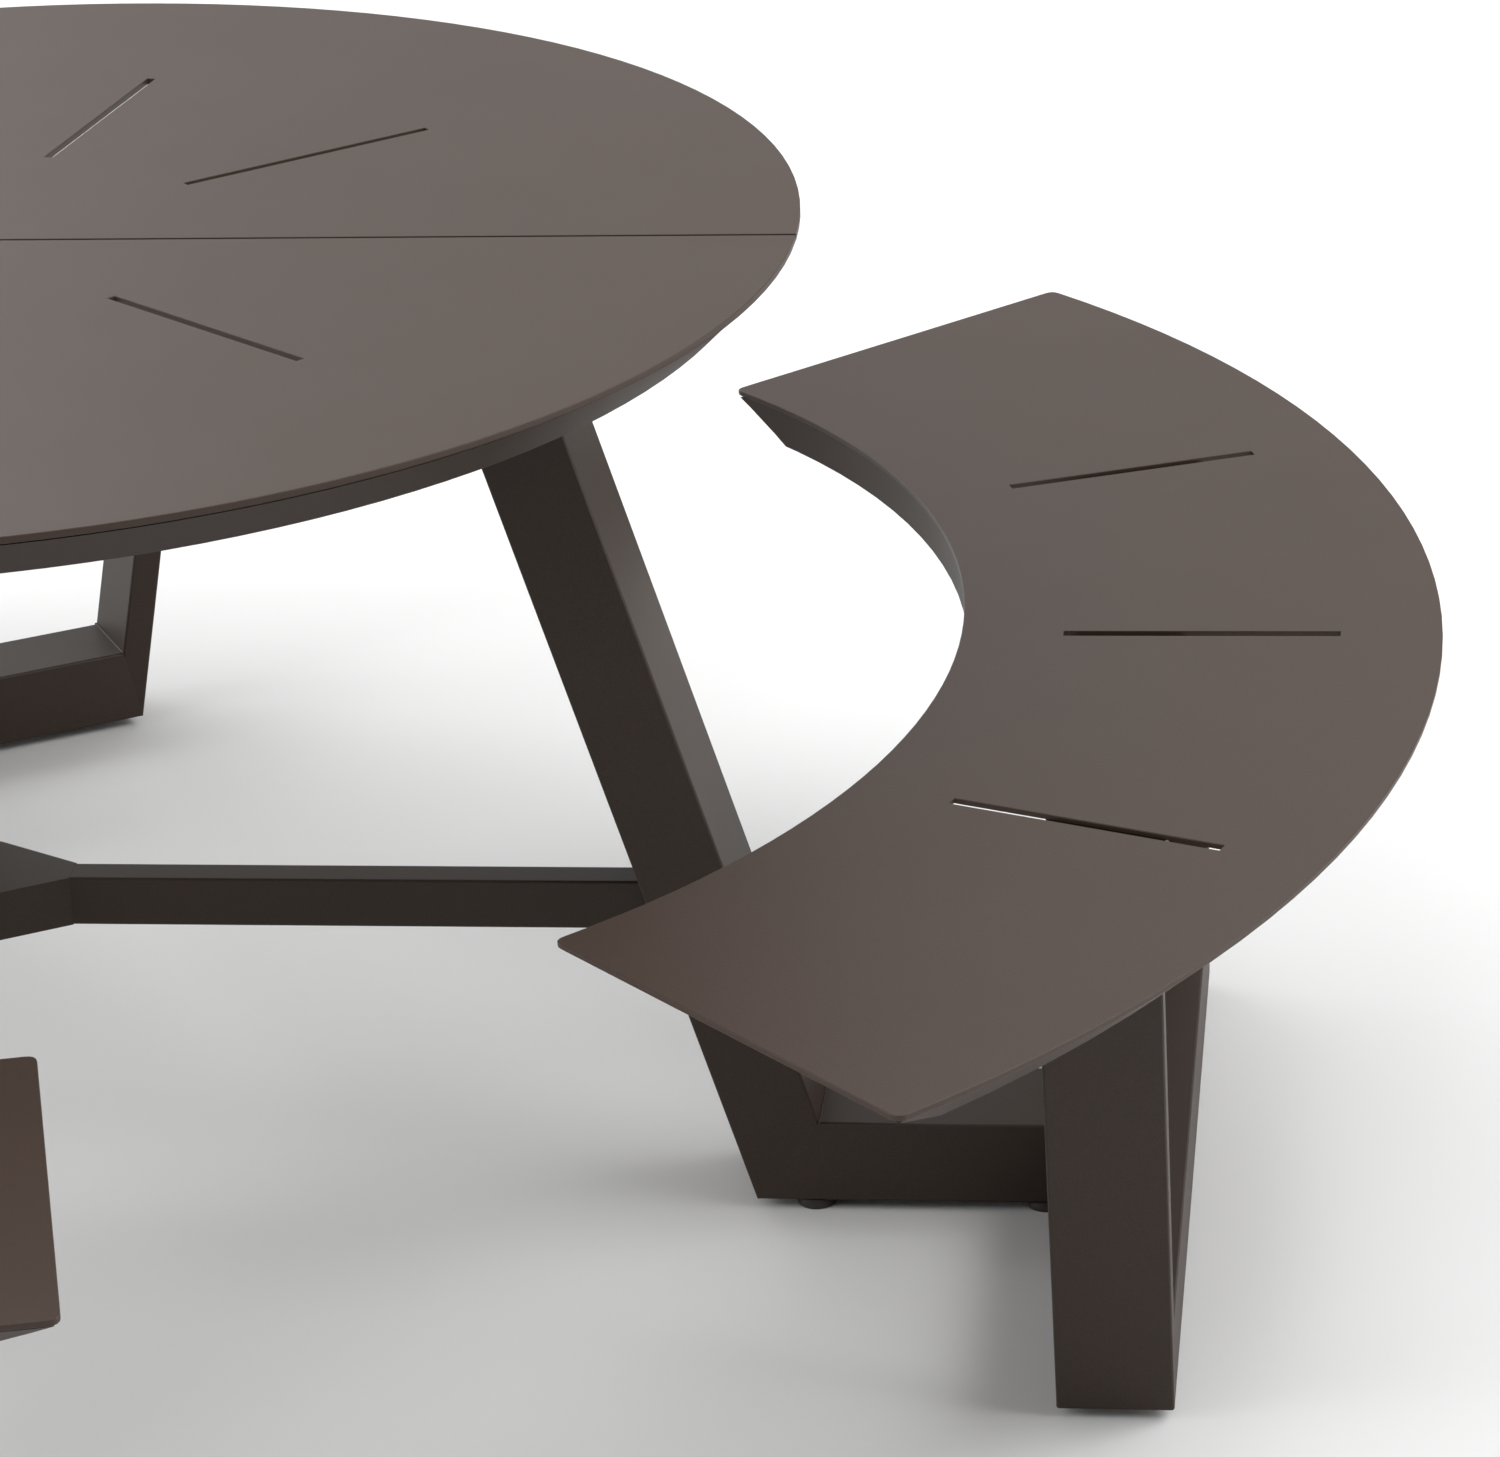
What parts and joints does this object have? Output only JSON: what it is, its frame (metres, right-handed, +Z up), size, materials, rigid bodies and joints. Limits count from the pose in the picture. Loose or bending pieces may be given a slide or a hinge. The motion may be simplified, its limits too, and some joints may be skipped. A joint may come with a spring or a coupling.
{
  "type": "picnic table",
  "caption": "Round picnic table with curved seats on one joined steel frame: leaning legs, foot beams, seat frames and struts to a central hub, all powder-coated.",
  "frame": {"origin": "on the ground, under the middle of the bounding box; the table's vertical axis passes 17 mm from it, towards -X", "axes": "+Z up; +X along the arm of seat 0, away from the table's axis; +Y towards seat 1"},
  "size_m": [2.0826, 2.116, 0.74],
  "materials": {
    "top_coating": "fine-textured matt powder coat, grey-brown",
    "seat_coating": "fine-textured matt powder coat, grey-brown",
    "frame_coating": "fine-textured matt powder coat, dark grey-brown",
    "glide_rubber": "matt moulded rubber",
    "fastener_steel": "zinc-plated"
  },
  "bodies": {
    "root": {"centre_disc": "frame_coating", "crossbeam_0": "frame_coating", "crossbeam_1": "frame_coating", "crossbeam_2": "frame_coating", "foot_beam_0": "frame_coating", "foot_beam_1": "frame_coating", "foot_beam_2": "frame_coating", "glide_end_left_0": "glide_rubber", "glide_end_left_1": "glide_rubber", "glide_end_left_2": "glide_rubber", "glide_end_right_0": "glide_rubber", "glide_end_right_1": "glide_rubber", "glide_end_right_2": "glide_rubber", "glide_inner_left_0": "glide_rubber", "glide_inner_left_1": "glide_rubber", "glide_inner_left_2": "glide_rubber", "glide_inner_right_0": "glide_rubber", "glide_inner_right_1": "glide_rubber", "glide_inner_right_2": "glide_rubber", "glide_outer_left_0": "glide_rubber", "glide_outer_left_1": "glide_rubber", "glide_outer_left_2": "glide_rubber", "glide_outer_right_0": "glide_rubber", "glide_outer_right_1": "glide_rubber", "glide_outer_right_2": "glide_rubber", "hub": "frame_coating", "leg_bracket_0": "frame_coating", "leg_bracket_1": "frame_coating", "leg_bracket_2": "frame_coating", "seat_leg_left_0": "frame_coating", "seat_leg_left_1": "frame_coating", "seat_leg_left_2": "frame_coating", "seat_leg_right_0": "frame_coating", "seat_leg_right_1": "frame_coating", "seat_leg_right_2": "frame_coating", "seat_plate_0": "seat_coating", "seat_plate_1": "seat_coating", "seat_plate_2": "seat_coating", "seat_rail_0": "frame_coating", "seat_rail_1": "frame_coating", "seat_rail_2": "frame_coating", "seat_skirt_0": "frame_coating", "seat_skirt_1": "frame_coating", "seat_skirt_2": "frame_coating", "strut_0": "frame_coating", "strut_1": "frame_coating", "strut_2": "frame_coating", "table_leg_0": "frame_coating", "table_leg_1": "frame_coating", "table_leg_2": "frame_coating", "table_skirt_0": "frame_coating", "table_skirt_1": "frame_coating", "table_skirt_2": "frame_coating", "tabletop_sector_0": "top_coating", "tabletop_sector_1": "top_coating", "tabletop_sector_2": "top_coating", "tip_screw_0": "fastener_steel", "tip_screw_1": "fastener_steel", "tip_screw_2": "fastener_steel"}
  },
  "joints": []
}
